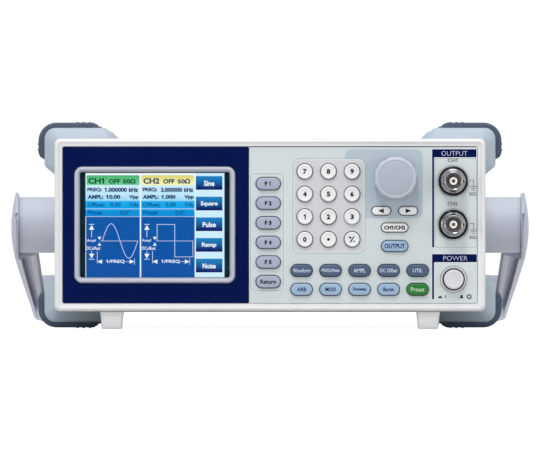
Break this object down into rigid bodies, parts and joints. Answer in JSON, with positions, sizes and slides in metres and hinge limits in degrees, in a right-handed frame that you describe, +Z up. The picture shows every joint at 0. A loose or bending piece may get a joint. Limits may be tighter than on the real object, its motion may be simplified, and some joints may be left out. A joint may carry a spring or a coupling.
{
  "type": "function generator",
  "caption": "Half-rack bench function generator with a display, keypad, tuning knob, output connectors, corner bumpers and a swinging carry handle.",
  "frame": {"origin": "on the surface that the feet stand on, under the middle of the whole object's width and depth, handle included", "axes": "+Z up, front panel facing -Y, +X to the right of someone facing the panel"},
  "size_m": [0.2692, 0.2856, 0.1051],
  "materials": {
    "bezel_plastic": "fine-grained off-white moulding",
    "overlay_pale": "printed pale grey-green film",
    "overlay_navy": "printed navy film, satin",
    "window_glass": "clear display window",
    "lcd_panel": "liquid-crystal panel in a dark frame",
    "key_soft": "lavender-grey key",
    "key_white": "white key",
    "key_slate": "slate-blue key",
    "key_sky": "light blue key",
    "key_green": "green key",
    "knob_plastic": "soft-touch lavender grey",
    "power_plastic": "off-white button",
    "handle_plastic": "lavender-grey fine texture",
    "pivot_plastic": "dark hub",
    "bumper_plastic": "light blue-grey fine texture",
    "bumper_rubber": "dark slate rubber",
    "foot_plastic": "off-white foot",
    "cover_paint": "textured warm-grey paint",
    "chassis_steel": "painted sheet steel",
    "rear_panel_paint": "textured warm-grey paint",
    "connector_metal": "nickel-plated brass",
    "black_plastic": "black moulding",
    "circuit_board": "green solder mask",
    "supply_board": "tan board with its parts"
  },
  "bodies": {
    "instrument": {"front_bezel": "bezel_plastic", "control_overlay": "overlay_pale", "display_overlay": "overlay_navy", "display_window": "window_glass", "lcd_module": "lcd_panel", "top_cover": "cover_paint", "bottom_chassis": "chassis_steel", "rear_panel": "rear_panel_paint", "front_bumper": "bumper_plastic", "rear_bumper": "bumper_plastic", "front_bumper_rubber": "bumper_rubber", "rear_bumper_rubber": "bumper_rubber", "foot_front_left": "foot_plastic", "foot_front_right": "foot_plastic", "foot_rear_left": "foot_plastic", "foot_rear_right": "foot_plastic", "output_connector_ch1": "connector_metal", "output_connector_ch2": "connector_metal", "mains_inlet": "black_plastic", "handle_pivot_left": "pivot_plastic", "handle_pivot_right": "pivot_plastic", "main_board": "circuit_board", "power_supply": "supply_board", "keypad_board": "circuit_board", "power_switch": "black_plastic"},
    "handle": {"handle": "handle_plastic"},
    "knob": {"knob": "knob_plastic"},
    "power_button": {"power_button": "power_plastic"},
    "key_f1": {"key_f1": "key_soft"},
    "key_f2": {"key_f2": "key_soft"},
    "key_f3": {"key_f3": "key_soft"},
    "key_f4": {"key_f4": "key_soft"},
    "key_f5": {"key_f5": "key_soft"},
    "key_return": {"key_return": "key_soft"},
    "key_7": {"key_7": "key_white"},
    "key_8": {"key_8": "key_white"},
    "key_9": {"key_9": "key_white"},
    "key_4": {"key_4": "key_white"},
    "key_5": {"key_5": "key_white"},
    "key_6": {"key_6": "key_white"},
    "key_1": {"key_1": "key_white"},
    "key_2": {"key_2": "key_white"},
    "key_3": {"key_3": "key_white"},
    "key_0": {"key_0": "key_white"},
    "key_point": {"key_point": "key_white"},
    "key_sign": {"key_sign": "key_white"},
    "key_arrow_left": {"key_arrow_left": "key_white"},
    "key_arrow_right": {"key_arrow_right": "key_white"},
    "key_channel": {"key_channel": "key_white"},
    "key_output": {"key_output": "key_sky"},
    "key_waveform": {"key_waveform": "key_slate"},
    "key_frequency": {"key_frequency": "key_slate"},
    "key_amplitude": {"key_amplitude": "key_slate"},
    "key_offset": {"key_offset": "key_slate"},
    "key_utility": {"key_utility": "key_slate"},
    "key_arbitrary": {"key_arbitrary": "key_sky"},
    "key_modulation": {"key_modulation": "key_sky"},
    "key_sweep": {"key_sweep": "key_sky"},
    "key_burst": {"key_burst": "key_sky"},
    "key_preset": {"key_preset": "key_green"}
  },
  "joints": [
    {"name": "handle_tilt", "type": "hinge", "parent": "instrument", "child": "handle", "pos_m": [0, -0.0138, 0.0528], "axis": [1, 0, 0], "range_deg": [0, 230]},
    {"name": "knob_turn", "type": "hinge", "parent": "instrument", "child": "knob", "pos_m": [0.0637, -0.1288, 0.0766], "axis": [0, 1, 0], "continuous": true},
    {"name": "power_press", "type": "slide", "parent": "instrument", "child": "power_button", "axis": [0, 1, 0], "range_m": [0, 0.003], "stiffness_N_per_m": 300, "springref_m": -0.001},
    {"name": "key_f1_press", "type": "slide", "parent": "instrument", "child": "key_f1", "axis": [0, 1, 0], "range_m": [0, 0.001], "stiffness_N_per_m": 250, "springref_m": -0.0005},
    {"name": "key_f2_press", "type": "slide", "parent": "instrument", "child": "key_f2", "axis": [0, 1, 0], "range_m": [0, 0.001], "stiffness_N_per_m": 250, "springref_m": -0.0005},
    {"name": "key_f3_press", "type": "slide", "parent": "instrument", "child": "key_f3", "axis": [0, 1, 0], "range_m": [0, 0.001], "stiffness_N_per_m": 250, "springref_m": -0.0005},
    {"name": "key_f4_press", "type": "slide", "parent": "instrument", "child": "key_f4", "axis": [0, 1, 0], "range_m": [0, 0.001], "stiffness_N_per_m": 250, "springref_m": -0.0005},
    {"name": "key_f5_press", "type": "slide", "parent": "instrument", "child": "key_f5", "axis": [0, 1, 0], "range_m": [0, 0.001], "stiffness_N_per_m": 250, "springref_m": -0.0005},
    {"name": "key_return_press", "type": "slide", "parent": "instrument", "child": "key_return", "axis": [0, 1, 0], "range_m": [0, 0.001], "stiffness_N_per_m": 250, "springref_m": -0.0005},
    {"name": "key_7_press", "type": "slide", "parent": "instrument", "child": "key_7", "axis": [0, 1, 0], "range_m": [0, 0.001], "stiffness_N_per_m": 250, "springref_m": -0.0005},
    {"name": "key_8_press", "type": "slide", "parent": "instrument", "child": "key_8", "axis": [0, 1, 0], "range_m": [0, 0.001], "stiffness_N_per_m": 250, "springref_m": -0.0005},
    {"name": "key_9_press", "type": "slide", "parent": "instrument", "child": "key_9", "axis": [0, 1, 0], "range_m": [0, 0.001], "stiffness_N_per_m": 250, "springref_m": -0.0005},
    {"name": "key_4_press", "type": "slide", "parent": "instrument", "child": "key_4", "axis": [0, 1, 0], "range_m": [0, 0.001], "stiffness_N_per_m": 250, "springref_m": -0.0005},
    {"name": "key_5_press", "type": "slide", "parent": "instrument", "child": "key_5", "axis": [0, 1, 0], "range_m": [0, 0.001], "stiffness_N_per_m": 250, "springref_m": -0.0005},
    {"name": "key_6_press", "type": "slide", "parent": "instrument", "child": "key_6", "axis": [0, 1, 0], "range_m": [0, 0.001], "stiffness_N_per_m": 250, "springref_m": -0.0005},
    {"name": "key_1_press", "type": "slide", "parent": "instrument", "child": "key_1", "axis": [0, 1, 0], "range_m": [0, 0.001], "stiffness_N_per_m": 250, "springref_m": -0.0005},
    {"name": "key_2_press", "type": "slide", "parent": "instrument", "child": "key_2", "axis": [0, 1, 0], "range_m": [0, 0.001], "stiffness_N_per_m": 250, "springref_m": -0.0005},
    {"name": "key_3_press", "type": "slide", "parent": "instrument", "child": "key_3", "axis": [0, 1, 0], "range_m": [0, 0.001], "stiffness_N_per_m": 250, "springref_m": -0.0005},
    {"name": "key_0_press", "type": "slide", "parent": "instrument", "child": "key_0", "axis": [0, 1, 0], "range_m": [0, 0.001], "stiffness_N_per_m": 250, "springref_m": -0.0005},
    {"name": "key_point_press", "type": "slide", "parent": "instrument", "child": "key_point", "axis": [0, 1, 0], "range_m": [0, 0.001], "stiffness_N_per_m": 250, "springref_m": -0.0005},
    {"name": "key_sign_press", "type": "slide", "parent": "instrument", "child": "key_sign", "axis": [0, 1, 0], "range_m": [0, 0.001], "stiffness_N_per_m": 250, "springref_m": -0.0005},
    {"name": "key_arrow_left_press", "type": "slide", "parent": "instrument", "child": "key_arrow_left", "axis": [0, 1, 0], "range_m": [0, 0.001], "stiffness_N_per_m": 250, "springref_m": -0.0005},
    {"name": "key_arrow_right_press", "type": "slide", "parent": "instrument", "child": "key_arrow_right", "axis": [0, 1, 0], "range_m": [0, 0.001], "stiffness_N_per_m": 250, "springref_m": -0.0005},
    {"name": "key_channel_press", "type": "slide", "parent": "instrument", "child": "key_channel", "axis": [0, 1, 0], "range_m": [0, 0.001], "stiffness_N_per_m": 250, "springref_m": -0.0005},
    {"name": "key_output_press", "type": "slide", "parent": "instrument", "child": "key_output", "axis": [0, 1, 0], "range_m": [0, 0.001], "stiffness_N_per_m": 250, "springref_m": -0.0005},
    {"name": "key_waveform_press", "type": "slide", "parent": "instrument", "child": "key_waveform", "axis": [0, 1, 0], "range_m": [0, 0.001], "stiffness_N_per_m": 250, "springref_m": -0.0005},
    {"name": "key_frequency_press", "type": "slide", "parent": "instrument", "child": "key_frequency", "axis": [0, 1, 0], "range_m": [0, 0.001], "stiffness_N_per_m": 250, "springref_m": -0.0005},
    {"name": "key_amplitude_press", "type": "slide", "parent": "instrument", "child": "key_amplitude", "axis": [0, 1, 0], "range_m": [0, 0.001], "stiffness_N_per_m": 250, "springref_m": -0.0005},
    {"name": "key_offset_press", "type": "slide", "parent": "instrument", "child": "key_offset", "axis": [0, 1, 0], "range_m": [0, 0.001], "stiffness_N_per_m": 250, "springref_m": -0.0005},
    {"name": "key_utility_press", "type": "slide", "parent": "instrument", "child": "key_utility", "axis": [0, 1, 0], "range_m": [0, 0.001], "stiffness_N_per_m": 250, "springref_m": -0.0005},
    {"name": "key_arbitrary_press", "type": "slide", "parent": "instrument", "child": "key_arbitrary", "axis": [0, 1, 0], "range_m": [0, 0.001], "stiffness_N_per_m": 250, "springref_m": -0.0005},
    {"name": "key_modulation_press", "type": "slide", "parent": "instrument", "child": "key_modulation", "axis": [0, 1, 0], "range_m": [0, 0.001], "stiffness_N_per_m": 250, "springref_m": -0.0005},
    {"name": "key_sweep_press", "type": "slide", "parent": "instrument", "child": "key_sweep", "axis": [0, 1, 0], "range_m": [0, 0.001], "stiffness_N_per_m": 250, "springref_m": -0.0005},
    {"name": "key_burst_press", "type": "slide", "parent": "instrument", "child": "key_burst", "axis": [0, 1, 0], "range_m": [0, 0.001], "stiffness_N_per_m": 250, "springref_m": -0.0005},
    {"name": "key_preset_press", "type": "slide", "parent": "instrument", "child": "key_preset", "axis": [0, 1, 0], "range_m": [0, 0.001], "stiffness_N_per_m": 250, "springref_m": -0.0005}
  ]
}
